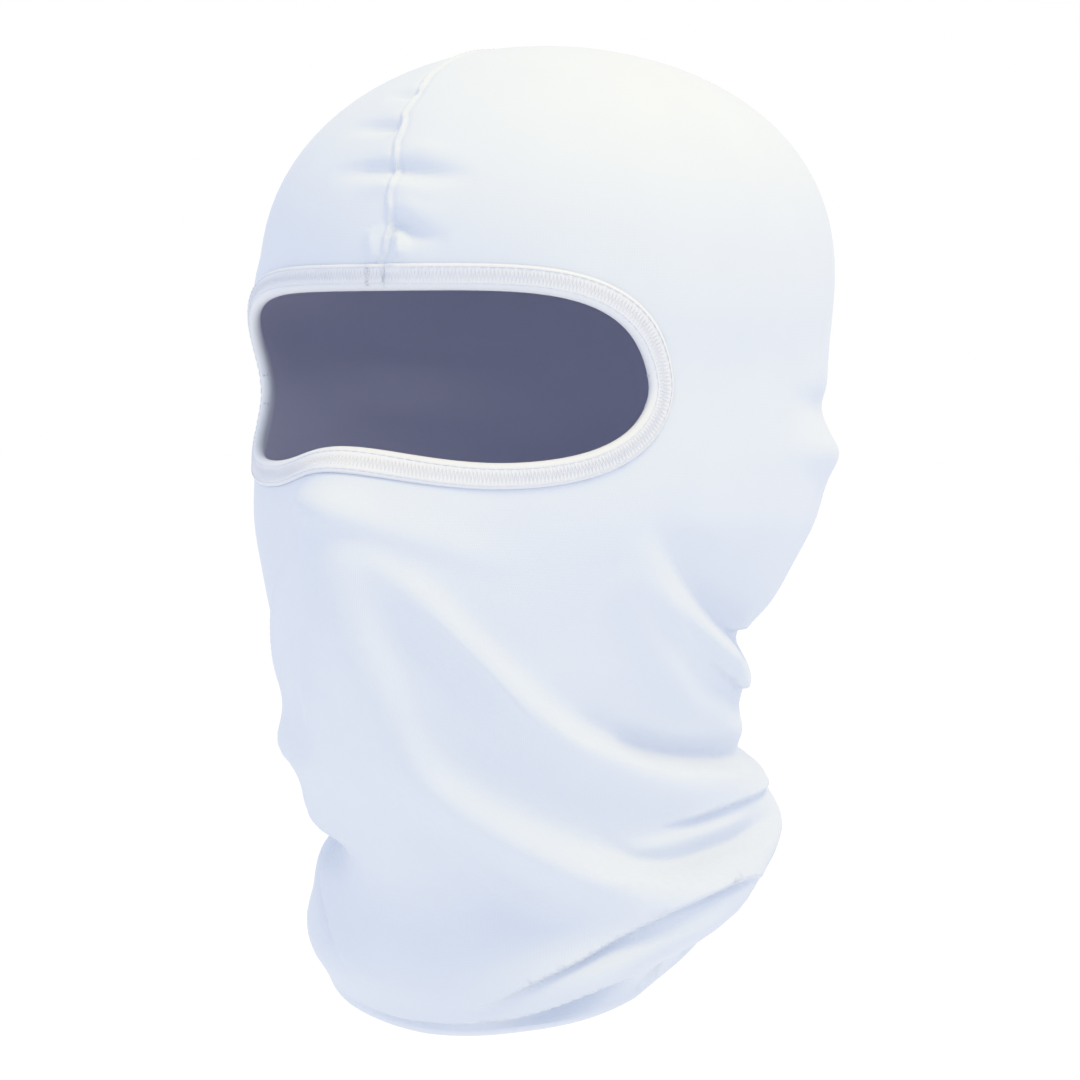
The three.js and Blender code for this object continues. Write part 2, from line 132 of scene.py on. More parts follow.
# Folds as routes of (angle, height, lift in millimetres), with how far each spreads above and below.
# A ridge is drawn along its steep upper slope, a hollow along its bottom and a small roll along its
# crest. A lip is a tuck: the cloth above it hangs over a sharp line.
NAPE = 180.0
FOLDS = [
    # Two swags from the nose to the nape, and the hollows beside them.
    ("ridge", 5, 11, [(7, -43, 0), (10, -49, 1.5), (14.2, -54.6, 3), (18.8, -59.6, 4.4), (28, -72, 6),
                      (38.2, -84, 6.6), (48.8, -94.3, 6.6), (58.2, -100.8, 6.2), (71.2, -107.9, 5.6),
                      (85.8, -112.2, 5.4), (104, -118, 5), (127, -125, 4.2), (150, -124, 3),
                      (NAPE, -119, 2.5)]),
    ("hollow", 4, 2.5, [(50, -91.5, 0), (54.2, -95, -1), (59.8, -98.6, -2), (65.2, -101.7, -3.8),
                        (74.8, -105.5, -4.4), (85.8, -109.2, -4.2), (103.8, -113.1, -2.8),
                        (120, -116, -1), (135, -118, 0)]),
    ("hollow", 6, 6, [(9, -54, 0), (12, -61, -1.2), (15.2, -67, -2), (19, -72, -2.8), (22.8, -77, -3.4),
                      (26.5, -81.2, -4.2), (31.2, -87, -4), (35.5, -91.5, -2.6), (41, -97, -1.2),
                      (48, -104, 0)]),
    ("hollow", 2.6, 2.8, [(50, -118, 0), (54.8, -124, -0.8), (60.2, -128.8, -1.8), (70.5, -131.6, -2.6),
                          (80.5, -132.4, -2.7), (95, -134.3, -2.3), (106, -136.3, -1.4),
                          (120, -139.5, 0)]),
    ("roll", 2.2, 2.2, [(58, -124.5, 0), (66, -126.2, 0.8), (76, -127.3, 1.2), (90, -129, 1.2),
                        (104, -131, 0)]),
    ("ridge", 7.5, 10, [(4.5, -38, 0), (5.5, -45.5, 1.6), (7.2, -62.3, 4), (9, -70, 5.4),
                        (13.6, -83, 7.4), (16.8, -94, 9), (19.2, -99.6, 10), (24.2, -105.6, 11),
                        (34.8, -114.6, 11), (44, -122, 10), (53.4, -128.8, 8.6), (64.8, -133.6, 7),
                        (79.8, -136.4, 5.8), (95, -138.8, 4.8), (105, -139.6, 5), (118, -140.4, 5),
                        (140, -142, 3.8), (NAPE, -143, 3)]),
    ("hollow", 6, 7, [(8, -104, 0), (12.2, -116, -1.5), (17.8, -123, -2), (25.2, -130, -2),
                      (33.8, -135, -1.5), (46, -138, 0)]),
    # Tucks where the slack neck is pushed up over the hem, and above the second swag.
    ("roll", 3, 5, [(28, -154, 0), (45, -150.5, 1.6), (60, -148.8, 2.6), (72, -148.6, 2.4),
                    (84, -149.6, 0)]),
    ("lip", 6, 1.6, [(16, -155, 0), (23.2, -152.6, 1.5), (29, -150.6, 2.8), (35, -148.8, 3.6),
                     (43.2, -146.7, 4.4), (53.2, -143.8, 5), (66.2, -141.8, 5.4), (79.2, -142.1, 5.2),
                     (86.5, -143.2, 3.8), (92, -145, 1.8), (97, -147.2, 0.6), (101, -149, 0)]),
    ("lip", 5, 1.1, [(68, -122.4, 0), (73, -122.5, 2), (78.2, -123, 3.4), (84.5, -123.5, 3.6),
                     (95, -124.9, 3.6), (117, -130.9, 2.8), (130, -134, 2), (140, -136, 0)]),
    # Folds from the cheek to the hollow under the back of the skull.
    ("ridge", 5, 6, [(56, -44, 0), (60, -50, 1.2), (62.8, -55.6, 2.4), (71.5, -65.9, 3.6),
                     (83, -74.9, 4.2), (95, -82.1, 3.6), (106, -86.5, 2.6), (118, -88, 2.4),
                     (145, -88, 2.2), (NAPE, -87, 2)]),
    ("hollow", 9, 4, [(58, -41, 0), (63.8, -48.4, -1.6), (67.8, -53.4, -2.8), (72, -58.2, -3.8),
                      (76.8, -63.6, -4.8), (82, -68.8, -5.6), (88, -73.6, -6.2), (98, -78.8, -6),
                      (110, -81, -5.4), (130, -81, -4.6), (NAPE, -80, -4)]),
    ("lip", 5, 3, [(88, -74.5, 0), (96, -77, 1.4), (106, -77.5, 2.4), (118, -77.5, 2.4),
                   (132, -77.5, 0)]),
    ("hollow", 3, 3, [(68, -66, 0), (73, -71.4, -1.4), (78.5, -77.3, -1.8), (84.5, -82.8, -1.4),
                      (93, -88, 0)]),
    ("lip", 4, 2, [(78.5, -78.3, 0), (84.5, -83.8, 1.2), (93, -89.6, 2.4), (102, -92.5, 2.8),
                   (112, -93.5, 2.4), (125, -93.5, 0)]),
    ("ridge", 5, 7, [(56, -52, 0), (59.5, -59.4, 1.2), (64.5, -69.4, 2), (71.8, -79.2, 2.4),
                     (82.2, -90.2, 2.4), (106.2, -102, 2), (125, -108, 0)]),
    # Behind the ear.
    ("hollow", 5, 5, [(92, -8, 0), (102, -9, -1.4), (112, -9.5, -2.4), (130, -10, -1.5), (150, -12, 0)]),
    ("roll", 5, 6, [(88, -20, 0), (100, -22, 1.6), (112, -23, 3.2), (130, -24, 2.6), (150, -26, 0)]),
]
LONE_FOLDS = [
    # The tip of the nose and the cheek under the binding.
    ("ridge", 6, 3.8, [(-10, -32, 0), (-3.2, -33, 3), (1.5, -34.5, 4.2), (7.2, -36.5, 2.8),
                       (14, -40, 1.5), (22.2, -44, 1), (31.5, -48, 0.5), (38, -50, 0)]),
    # The lowest tuck, round the front of the hem.
    ("lip", 5, 3.6, [(-28, -159, 0), (-10, -159, 2.8), (6.5, -158.6, 4.6), (17.5, -157.9, 6),
                     (26, -157.2, 7.4), (34.5, -155.6, 8), (42.8, -154, 7.6), (50, -153.4, 5.4),
                     (54.8, -153.6, 2.6), (61, -154, 0)]),
    ("hollow", 1.8, 2.2, [(2, -161, 0), (14, -160.6, -1.6), (26, -160, -3), (36, -158.4, -3.6),
                          (45, -156.8, -3.2), (52, -156, -1.6), (58, -156.6, 0)]),
    # The hem drawn in behind on the wearer's left, and the neck pushed in on the right.
    ("hollow", 6, 12, [(46, -160, 0), (58, -161, -2.4), (66, -161, -6), (74, -161, -8),
                       (90, -159.5, -9.5), (98, -156, -11), (106, -154.5, -12), (118, -154, -11),
                       (135, -155, -8), (160, -159, -4), (NAPE, -161, 0)]),
    ("roll", 11, 6, [(-120, -101, 0), (-85, -102.5, 6), (-62, -103, 8.4), (-45, -102.5, 7.6),
                     (-28, -101, 4.2), (-14, -99, 0)]),
    ("hollow", 6, 5, [(-125, -127, 0), (-95, -129, -5.4), (-70, -129.5, -8.4), (-55, -129.5, -8.8),
                      (-40, -128.5, -6), (-28, -127, -2.8), (-14, -125, 0)]),
    ("roll", 8, 10, [(-120, -152, 0), (-80, -153, 2.2), (-55, -153, 2.4), (-30, -152, 1.8),
                     (-12, -150, 0)]),
    # Puckers drawn in by the crown seam.
    ("hollow", 2.4, 3.4, [(-26, 71.8, 0), (-20, 71.8, -0.8), (-14, 71.8, -2), (-8, 71.8, -2.6)]),
    ("hollow", 2.4, 3.6, [(-19, 58, 0), (-13, 58.6, -1.4), (-8, 59.2, -2.6), (-1.5, 59.4, -2.6),
                          (3, 58.6, -2.6), (8, 57.8, -2.2), (12.8, 57, -1.2), (19, 56, 0)]),
    ("hollow", 2.2, 3.2, [(1.8, 43.6, -1.5), (3.5, 42.4, -2.6), (6.5, 40.6, -2.4), (10, 39.2, -1.4),
                          (15, 38, 0)]),
    ("roll", 1.8, 2.2, [(2.2, 41, 0), (4, 38.6, 2), (4.6, 35, 2.6), (3.4, 31.5, 1.6)]),
    ("roll", 2, 2, [(-2.6, 42, 0), (-2.4, 38, 1.2), (-1.6, 34, 1)]),
    ("roll", 3, 3, [(1.5, 64.5, 0.6), (5, 64, 0.8), (10, 63, 0.4), (16, 62, 0)]),
    ("roll", 3, 3, [(-9, 53, 0), (-5, 53, 0.6), (-1, 53.4, 1), (3.5, 52.4, 1), (8, 51.5, 0.6),
                    (13, 51, 0)]),
    ("roll", 2.5, 2.5, [(1.5, 48.5, 0.6), (5, 47.6, 1), (9, 46, 0.5), (14, 45, 0)]),
    ("hollow", 2.4, 2.4, [(-22, 81.4, 0), (-14, 81.2, -1.2), (-10.5, 81.2, -1.6)]),
]


def smooth_route(rows, step):
    """Points every few millimetres along a smooth line through a route's rows."""
    rows = np.array(rows, float)
    ends = np.vstack([2 * rows[0] - rows[1], rows, 2 * rows[-1] - rows[-2]])
    out = []
    for p0, p1, p2, p3 in zip(ends, ends[1:], ends[2:], ends[3:]):
        reach = math.hypot((p2[0] - p1[0]) * MM_PER_DEGREE, p2[1] - p1[1])
        t = np.linspace(0, 1, max(int(reach / step), 2), endpoint=False)[:, None]
        out.append(0.5 * (2 * p1 + (p2 - p0) * t + (2 * p0 - 5 * p1 + 4 * p2 - p3) * t ** 2
                          + (3 * p1 - p0 - 3 * p2 + p3) * t ** 3))
    return np.vstack(out + [rows[-1:]])


class Route:
    """A route over the smooth hood, and how places lie to it."""

    def __init__(self, rows, step=1.0):
        self.rows = smooth_route(rows, step)
        self.line = head(self.rows[:, 0], self.rows[:, 1])
        along = np.gradient(self.line, axis=0)
        up = np.cross(outward(self.rows[:, 0], self.rows[:, 1]), along)
        leftwards = 1 if rows[-1][0] >= rows[0][0] else -1
        self.up = up / np.linalg.norm(up, axis=1, keepdims=True) * leftwards

    def near(self, place, reach):
        """Places within reach, in blocks: which they are, their nearest point on the line, how far they
        are above it and how far past its ends."""
        low, high = self.line.min(0) - reach, self.line.max(0) + reach
        close = np.flatnonzero(((place > low) & (place < high)).all(1))
        for part in np.array_split(close, len(close) // 4000 + 1):
            if len(part):
                gap = place[part][:, None] - self.line[None]
                nearest = (gap ** 2).sum(-1).argmin(1)
                away = gap[np.arange(len(part)), nearest]
                above = (away * self.up[nearest]).sum(-1)
                yield part, nearest, above, np.sqrt(np.maximum((away ** 2).sum(-1) - above ** 2, 0))


OTHER_SIDE_RISE, OTHER_SIDE_SHARE = 12, 0.4


def other_side(rows):
    """The same fold on the wearer's right, a little higher and weaker, joined up again at the nape."""
    return [(-angle, height + OTHER_SIDE_RISE * math.sin(math.radians(abs(angle))), OTHER_SIDE_SHARE * lift)
            for angle, height, lift in rows]


ROUTES = [(kind, above, below, Route(rows)) for kind, above, below, rows in FOLDS + LONE_FOLDS]
ROUTES += [(kind, above, below, Route(other_side(rows))) for kind, above, below, rows in FOLDS]

# The seam's line, from the eye opening over the crown, where it has been pulled aside, to the hem.
SEAM_STEP = 0.6
SEAM = Route([(0.2, 28, 0), (0.2, 31, 0), (1, 35.5, 0), (1, 43, 0), (0.5, 48.7, 0), (-0.2, 55, 0),
              (-1.8, 61.6, 0), (-3.2, 65.6, 0), (-4.2, 70.7, 0), (-6.8, 75.1, 0), (-8, 79.5, 0), (-10, 83, 0),
              (-14, 87, 0), (-20, 91.5, 0), (-36, 95.6, 0), (-90, 97.25, 0), (-146, 96, 0), (-168, 90, 0),
              (-176.5, 80, 0), (-179.2, 66, 0), (-NAPE, 45, 0), (-NAPE, 0, 0), (-NAPE, -60, 0),
              (-NAPE, -110, 0), (-NAPE, HEM, 0)], SEAM_STEP)
SEAM_RUN = np.concatenate([[0], np.cumsum(np.linalg.norm(np.diff(SEAM.line, axis=0), axis=1))])
SEAM_RIDGE, SEAM_HALF_WIDTH, SEAM_GROOVE = 0.8, 0.6, 0.3
# Height, spacing and reach of the puckers down the nape.
NAPE_PUCKERS = (0.3, 19.0, 9.0)
FOLD_REACH, LIP_EDGE, RIDGE_SHIFT = 3.2, 0.35, 0.7


def folds(angle, height, seam):
    """How far the cloth stands out from the smooth hood, in millimetres, with the seam's ridge if seam."""
    shape = np.shape(angle)
    place, height = head(np.ravel(angle), np.ravel(height)), np.ravel(height)
    total = np.zeros(len(place))
    for kind, above, below, route in ROUTES:
        for part, nearest, up, past_end in route.near(place, FOLD_REACH * max(above, below)):
            spread = np.where(up > 0, above, below)
            if kind == "lip":
                profile = (0.5 * np.tanh(up / LIP_EDGE) - 0.05) * np.exp(-np.abs(up) / spread)
            else:
                crest = up + RIDGE_SHIFT * above if kind == "ridge" else up
                profile = np.exp(-(crest / np.where(crest > 0, above, below)) ** 2)
            total[part] += route.rows[nearest, 2] * profile * np.exp(-(past_end / above) ** 2)
    for part, nearest, left, past_end in SEAM.near(place, 60):
        run, front = SEAM_RUN[nearest], SEAM.line[nearest, 1] < 0
        fade = np.exp(-(past_end / 1.5) ** 2)
        lift, pitch, reach = NAPE_PUCKERS
        drawn = lift * np.sin(run / pitch * 2 * np.pi + 1.5 * np.sin(run / 31))
        total[part] += ~front * fade * drawn * np.exp(-np.abs(left / reach) ** 1.5)
        if seam:
            # The ridge wanders and swells a little, stitch by stitch, between two shallow grooves.
            left = left + 0.25 * np.sin(run / 1.35) * np.sin(run / 5.1)
            ridge = SEAM_RIDGE * (0.85 + 0.15 * np.sin(run * 2 * np.pi / 3.2))
            total[part] += fade * (ridge * np.exp(-(left / SEAM_HALF_WIDTH) ** 2)
                                   - SEAM_GROOVE * np.exp(-((np.abs(left) - 1.5) / 0.6) ** 2))
    return total.reshape(shape)


def cloth(angle, height, offset=0.0, seam=True):
    """A place on the folded cloth, in millimetres, moved out by an offset."""
    angle, height = np.broadcast_arrays(np.asarray(angle, float), np.asarray(height, float))
    out = outward(angle, height)
    return head(angle, height) + out * (folds(angle, height, seam) + offset)[..., None]


def eye_edge(turn, grow=0.0):
    """(angle, height) on the eye opening's edge at a turn from 0 to 1, grown outwards over the cloth."""
    def edge(t):
        c, s = np.cos(t), np.sin(t)
        side = np.sign(c) * np.abs(c) ** 0.75
        across = EYE_HALF_ANGLE * side
        gape = 1 - np.abs(side) ** 5
        reach = np.where(s > 0, EYE_UP * gape ** 0.625, -EYE_DOWN * gape ** 0.5)
        rise = EYE_NOSE_RISE * np.maximum(-s, 0) * np.exp(-(across / NOSE_RISE_REACH) ** 2)
        return np.stack([across * MM_PER_DEGREE, EYE_MIDDLE + reach + rise], -1)
    t = np.asarray(turn) * 2 * np.pi
    along = edge(t + 0.02) - edge(t - 0.02)
    along /= np.linalg.norm(along, axis=-1, keepdims=True)
    at = edge(t) + np.stack([along[..., 1], -along[..., 0]], -1) * np.asarray(grow)[..., None]
    return at[..., 0] / MM_PER_DEGREE, at[..., 1]


def even_turns(count):
    """Turns that space points evenly round the eye opening."""
    fine = np.linspace(0, 1, 2001)
    angle, height = eye_edge(fine)
    run = np.concatenate([[0], np.cumsum(np.hypot(np.diff(angle) * MM_PER_DEGREE, np.diff(height)))])
    return np.interp(np.arange(count) / count * run[-1], run, fine)


def new_mesh(name, points, faces, material, uv=None):
    """A mesh object from points in millimetres, smooth shaded, with one material."""
    mesh = bpy.data.meshes.new(name)
    mesh.from_pydata((np.asarray(points) * METRES).tolist(), [], [list(map(int, f)) for f in faces])
    mesh.validate()
    mesh.shade_smooth()
    mesh.materials.append(material)
    if uv is not None:
        layer = mesh.uv_layers.new(name="cut")
        corner = np.zeros(len(mesh.loops), int)
        mesh.loops.foreach_get("vertex_index", corner)
        flat = np.array(uv)[corner]
        first, sizes = np.zeros(len(mesh.polygons), int), np.zeros(len(mesh.polygons), int)
        mesh.polygons.foreach_get("loop_start", first)
        mesh.polygons.foreach_get("loop_total", sizes)
        # A cell that crosses the nape carries on past the edge of the cut.
        half_the_cut = 300
        wide = np.maximum.reduceat(flat[:, 0], first) - np.minimum.reduceat(flat[:, 0], first) > half_the_cut
        flat[np.repeat(wide, sizes) & (flat[:, 0] < 0), 0] += 360 * MM_PER_DEGREE
        layer.data.foreach_set("uv", (flat * METRES).astype(np.float32).ravel())
    made = bpy.data.objects.new(name, mesh)
    bpy.context.scene.collection.objects.link(made)
    return made


def thicken(face_a, face_b, cells):
    """Points and faces of a closed sheet from its two faces and the cells that it is made of."""
    count = len(face_a)
    cells = [cell for cell in (tuple(dict.fromkeys(c)) for c in cells) if len(cell) > 2]
    edges = {(c[k], c[(k + 1) % len(c)]) for c in cells for k in range(len(c))}
    rim = [(a, a + count, b + count, b) for a, b in edges if (b, a) not in edges]
    back = [tuple(i + count for i in c[2::-1] + c[:2:-1]) for c in cells]
    return np.vstack([face_a, face_b]), cells + back + rim


def srgb(text):
    """A hex colour as linear red, green, blue and alpha."""
    parts = [int(text[k:k + 2], 16) / 255 for k in (1, 3, 5)]
    return [c / 12.92 if c <= 0.04045 else ((c + 0.055) / 1.055) ** 2.4 for c in parts] + [1]


def node(tree, kind, settings=None, **inputs):
    """Adds a node, with its settings, and its inputs set to values or linked to other nodes' outputs."""
    made = tree.nodes.new(kind)
    for key, value in (settings or {}).items():
        setattr(made, key, value)
    for key, value in inputs.items():
        socket = made.inputs[int(key[1:])] if key[1:].isdigit() else made.inputs[key.replace("_", " ")]
        if isinstance(value, bpy.types.NodeSocket):
            tree.links.new(value, socket)
        else:
            socket.default_value = value
    return made


def knit(name, light, shade, gauge, bump, roughness, sheen):
    """Weft-knit jersey: columns and courses of small loops in a matt yarn, with a soft sheen at grazing
    angles. gauge is the loops' spacing in millimetres, drawn coarser than real jersey so that it shows.
    A wave's bands lie two pi / 20 apart at a scale of 1."""
    material = bpy.data.materials.new(name)
    material.use_nodes = True
    tree = material.node_tree
    tree.nodes.clear()
    place = node(tree, "ShaderNodeTexCoord")
    cut = node(tree, "ShaderNodeUVMap", {"uv_map": "cut"})
    columns = node(tree, "ShaderNodeTexWave", {"wave_type": "BANDS", "bands_direction": "X"},
                   Vector=cut.outputs["UV"], Scale=2 * math.pi / 20 / (gauge * METRES), Distortion=0.6,
                   Detail=1.0)
    courses = node(tree, "ShaderNodeTexWave", {"wave_type": "BANDS", "bands_direction": "Y"},
                   Vector=cut.outputs["UV"], Scale=2 * math.pi / 20 / (0.75 * gauge * METRES), Distortion=0.8,
                   Detail=1.0)
    loops = node(tree, "ShaderNodeMath", {"operation": "MULTIPLY"}, _0=columns.outputs["Fac"],
                 _1=courses.outputs["Fac"])
    soft = node(tree, "ShaderNodeTexNoise", Vector=place.outputs["Object"], Scale=38.0, Detail=3.0)
    tone = node(tree, "ShaderNodeMix", {"data_type": "RGBA"}, Factor=soft.outputs["Fac"])
    tone.inputs[6].default_value = srgb(shade)
    tone.inputs[7].default_value = srgb(light)
    relief = node(tree, "ShaderNodeBump", Height=loops.outputs[0], Strength=bump, Distance=0.0002)
    surface = node(tree, "ShaderNodeBsdfPrincipled", Base_Color=tone.outputs[2], Normal=relief.outputs[0],
                   Roughness=roughness)
    surface.inputs["Sheen Weight"].default_value = sheen
    surface.inputs["Sheen Roughness"].default_value = 0.5
    surface.inputs["Specular IOR Level"].default_value = 0.3
    node(tree, "ShaderNodeOutputMaterial", Surface=surface.outputs[0])
    return material


def inside_eye(x, y, grow):
    """Whether places on the cut, in millimetres, lie inside the eye opening grown by some millimetres."""
    edge_x, edge_y = eye_edge(np.linspace(0, 1, 400, endpoint=False), grow)
    edge_x = edge_x * MM_PER_DEGREE
    inside = np.zeros(np.shape(x), bool)
    for x0, y0, x1, y1 in zip(edge_x, edge_y, np.roll(edge_x, -1), np.roll(edge_y, -1)):
        crosses = (y0 > y) != (y1 > y)
        inside ^= crosses & (x < (x1 - x0) * (y - y0) / (y1 - y0 + 1e-12) + x0)
    return inside


# Sizes of the cloth's cells: the largest, how fast they grow away from a fold, and, as (size, reach),
# those at a lip's edge and along the seam on the outer panel and on the lining.
LARGEST_CELL, CELL_GROWTH = 5.2, 1.5
LIP_CELLS, SEAM_CELLS, LINING_SEAM_CELLS = (0.55, 0.6), (0.6, 1.2), (2, 4)
# On other folds they are a share of the fold's spread, smaller on a narrow fold.
NARROW_FOLD, NARROW_SHARE, WIDE_SHARE, FOLD_CELL_REACH = 2.3, 0.55, 0.66, 1.2


def wanted_size(place, seam):
    """How large the cloth's cells may be at each place, in millimetres."""
    size = np.full(len(place), LARGEST_CELL)
    for kind, above, below, route in ROUTES:
        small = min(above, below)
        fine = (NARROW_SHARE if small < NARROW_FOLD else WIDE_SHARE) * small
        reach = FOLD_CELL_REACH * max(above, below)
        if kind == "lip":
            fine, reach = LIP_CELLS
        for part, nearest, up, past_end in route.near(place, reach + 10):
            grown = fine + CELL_GROWTH * np.maximum(np.hypot(up, past_end) - reach, 0)
            size[part] = np.minimum(size[part], grown)
    fine, reach = SEAM_CELLS if seam else LINING_SEAM_CELLS
    for part, nearest, left, past_end in SEAM.near(place, 30):
        size[part] = np.minimum(size[part], fine + np.maximum(np.hypot(left, past_end) - reach, 0))
    return size


def cut_cells(angles, heights, finest, seam):
    """Cells of the cut as lists of (column, row) corners on its finest grid. A cell that is too large for
    its place is quartered. A cell beside smaller ones takes in their corners, so no edge is left open,
    and is cut into triangles about its middle."""
    whole = 2 ** finest
    column, row = np.meshgrid(np.arange(len(angles) - 1) * whole, np.arange(len(heights) - 1) * whole)
    squares, part, done = np.stack([column.ravel(), row.ravel()], 1), whole, []

    def at(columns, rows):
        return (np.interp(columns / whole, np.arange(len(angles)), angles),
                np.interp(rows / whole, np.arange(len(heights)), heights))

    while len(squares):
        angle, height = at(squares[:, 0] + part / 2, squares[:, 1] + part / 2)
        low = head(*at(squares[:, 0], squares[:, 1]))
        high = head(*at(squares[:, 0] + part, squares[:, 1] + part))
        split = np.linalg.norm(high - low, axis=1) / math.sqrt(2) > wanted_size(head(angle, height), seam)
        if part == 1:
            split[:] = False
        done += [(x, y, part) for x, y in squares[~split].tolist()]
        part //= 2
        squares = np.concatenate([squares[split] + [dx * part, dy * part] for dx in (0, 1) for dy in (0, 1)])
    turn = (len(angles) - 1) * whole
    corners = {((x + dx * size) % turn, y + dy * size)
               for x, y, size in done for dx in (0, 1) for dy in (0, 1)}
    cells = []
    for x, y, size in done:
        walk = [(x, y + k) for k in range(size)] + [(x + k, y + size) for k in range(size)]
        walk += [(x + size, y + size - k) for k in range(size)] + [(x + size - k, y) for k in range(size)]
        ring = [(across, down) for across, down in walk if (across % turn, down) in corners]
        middle = (x + size // 2, y + size // 2)
        fan = [[middle, a, b] for a, b in zip(ring, ring[1:] + ring[:1])]
        cells += [ring] if len(ring) == 4 else fan
    return cells


# How the cut is divided before its cells are quartered, FINEST times at most. Its edge at the eye
# opening lies EYE_CUT outside the binding's rim, and the hem turns under round a small bend.
COLUMNS, DOME_ROWS, BODY_ROWS, FINEST = 116, 22, 50, 3
EYE_CUT, HEM_BEND = 2.5, 1.3


def panel(name, top, thickness, turn_under, material, seam):
    """A knit panel whose outer face lies at an offset, top, and whose lower edge turns under by some
    millimetres. The seam's ridge shows on it if seam is true."""
    angles = np.linspace(-NAPE, NAPE, COLUMNS + 1)
    dome = WIDEST + (TOP - WIDEST) * np.cos(np.linspace(0, np.pi / 2, DOME_ROWS, endpoint=False))
    body = np.linspace(WIDEST, HEM, BODY_ROWS + 1)
    under = HEM - np.arange(1, turn_under + 1)
    heights = np.concatenate([dome, body, under])
    cells = cut_cells(angles, heights, FINEST, seam)
    whole = 2 ** FINEST

    def on_cut(lattice):
        lattice = np.array(lattice, float) / whole
        return (np.interp(lattice[:, 0], np.arange(len(angles)), angles),
                np.interp(lattice[:, 1], np.arange(len(heights)), heights))

    middle_a, middle_h = on_cut([np.mean(cell, axis=0) for cell in cells])
    kept = ~inside_eye(middle_a * MM_PER_DEGREE, middle_h, EYE_CUT)
    # The crown is one point, and the cut's two edges meet at the nape.
    cells = [[(0, 0) if y == 0 else (x % (COLUMNS * whole), y) for x, y in cell]
             for cell, keep in zip(cells, kept) if keep]
    corners = sorted({corner for cell in cells for corner in cell})
    index = {corner: k for k, corner in enumerate(corners)}
    place_a, cut_h = on_cut(corners)
    cells = [[index[corner] for corner in cell] for cell in cells]
    # Past the hem the cloth turns inwards round the bend, then runs up inside.
    past = np.maximum(HEM - cut_h, 0)
    bend = math.pi * HEM_BEND
    turned = np.minimum(past / bend, 1) * math.pi
    place_h = np.maximum(cut_h, HEM) + np.maximum(past - bend, 0)
    folded, out = cloth(place_a, place_h, 0.0, seam), outward(place_a, place_h)
    middle = top - HEM_BEND - thickness
    faces = []
    for reach in (top - middle, top - middle - thickness):
        face = folded + out * (middle + reach * np.cos(turned))[:, None]
        face[:, 2] -= reach * np.sin(turned)
        faces.append(face)
    uv = np.tile(np.stack([place_a * MM_PER_DEGREE, cut_h], -1), (2, 1))
    return new_mesh(name, *thicken(*faces, cells), material, uv)


outer_knit = knit("white polyester jersey, matt", "#d2dcee", "#ced8ec", gauge=0.55, bump=0.12, roughness=0.85,
                  sheen=0.1)
HEM_TURN = 14
outer = panel("outer_panel_cloth", 0.0, CLOTH, HEM_TURN, outer_knit, True)
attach(outer, "root")
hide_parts("outer_panel")

# ---------------------------------------------------------------------------------------------------
# Lining: a thinner pale jersey, cut like the outer panel, inside it. It is caught in the hem and under
# the binding, and looks dark only because it is seen in shade.
# ---------------------------------------------------------------------------------------------------
LINING_GAP, LINING_CLOTH = 0.3, 0.5
lining_knit = knit("pale polyester jersey, matt", "#cbcfe7", "#c6cae4", gauge=0.55, bump=0.1, roughness=0.9,
                   sheen=0.1)
lining = panel("lining_cloth", -CLOTH - LINING_GAP, LINING_CLOTH, 0, lining_knit, False)
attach(lining, "root")
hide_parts("lining_panel")

# ---------------------------------------------------------------------------------------------------
# Eye binding: a strip of the same white jersey, folded over both panels' cut edges all round the eye
# opening, seven millimetres wide on each face.
# ---------------------------------------------------------------------------------------------------
BINDING_WIDTH = 7.2
# The folded strip's section, as (distance from the opening's edge, height over the outer face).
BINDING_SECTION = [(BINDING_WIDTH, 0.05), (BINDING_WIDTH + 0.1, 0.45), (BINDING_WIDTH - 0.4, 0.85),
                   (6.0, 0.95), (4.6, 1.0), (3.0, 1.0), (1.6, 0.95), (0.5, 0.7), (-0.1, 0.0),
                   (-0.25, -0.8), (0.0, -1.6), (0.6, -2.2), (2.0, -2.5), (4.0, -2.55), (6.4, -2.5),
                   (BINDING_WIDTH, -2.2), (BINDING_WIDTH, -1.75), (4.0, -1.75), (1.5, -1.7), (1.3, -0.8),
                   (1.5, 0.05), (4.0, 0.05)]
# How many sections the strip has, and how far one is from the next.
BINDING_TURNS, BINDING_STEP = 640, 0.61
# Where the strip's ends lap: the groove's angle, its width and its depth.
LAP_ANGLE, LAP_WIDTH, LAP_DEPTH = 1.2, 0.5, 0.45
# The strip is tinted a little lighter than the outer panel's jersey: painted light for the light that its
# rolled edge catches.
binding_knit = knit("white folded jersey strip", "#dbe2ef", "#d7deed", gauge=0.5, bump=0.15, roughness=0.85,
                    sheen=0.1)


def ring_loft(rings):
    """Faces that join equal rings of points into a closed loop of tube."""
    count, size = len(rings), len(rings[0])
    return [(r * size + k, ((r + 1) % count) * size + k, ((r + 1) % count) * size + (k + 1) % size,
             r * size + (k + 1) % size) for r in range(count) for k in range(size)]


def binding():
    """The strip, carried round the eye opening, with a groove across its face where its ends lap."""
    turns = even_turns(BINDING_TURNS)
    section = np.array(BINDING_SECTION)
    grow, offset = section[:, 0], section[:, 1]
    angle, height = eye_edge(np.repeat(turns[:, None], len(section), 1),
                             np.broadcast_to(grow, (len(turns), len(grow))))
    groove = np.exp(-((angle - LAP_ANGLE) * MM_PER_DEGREE / LAP_WIDTH) ** 2) * (height > 0)
    points = cloth(angle, height, offset - LAP_DEPTH * groove * (offset > 0), False)
    run = np.arange(len(turns)) * BINDING_STEP
    uv = np.stack(np.broadcast_arrays(run[:, None], np.arange(len(section))[None] * 1.0), -1)
    return new_mesh("eye_binding_strip", points.reshape(-1, 3), ring_loft(points), binding_knit,
                    uv.reshape(-1, 2))


strip = binding()
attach(strip, "root")
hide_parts("eye_binding")

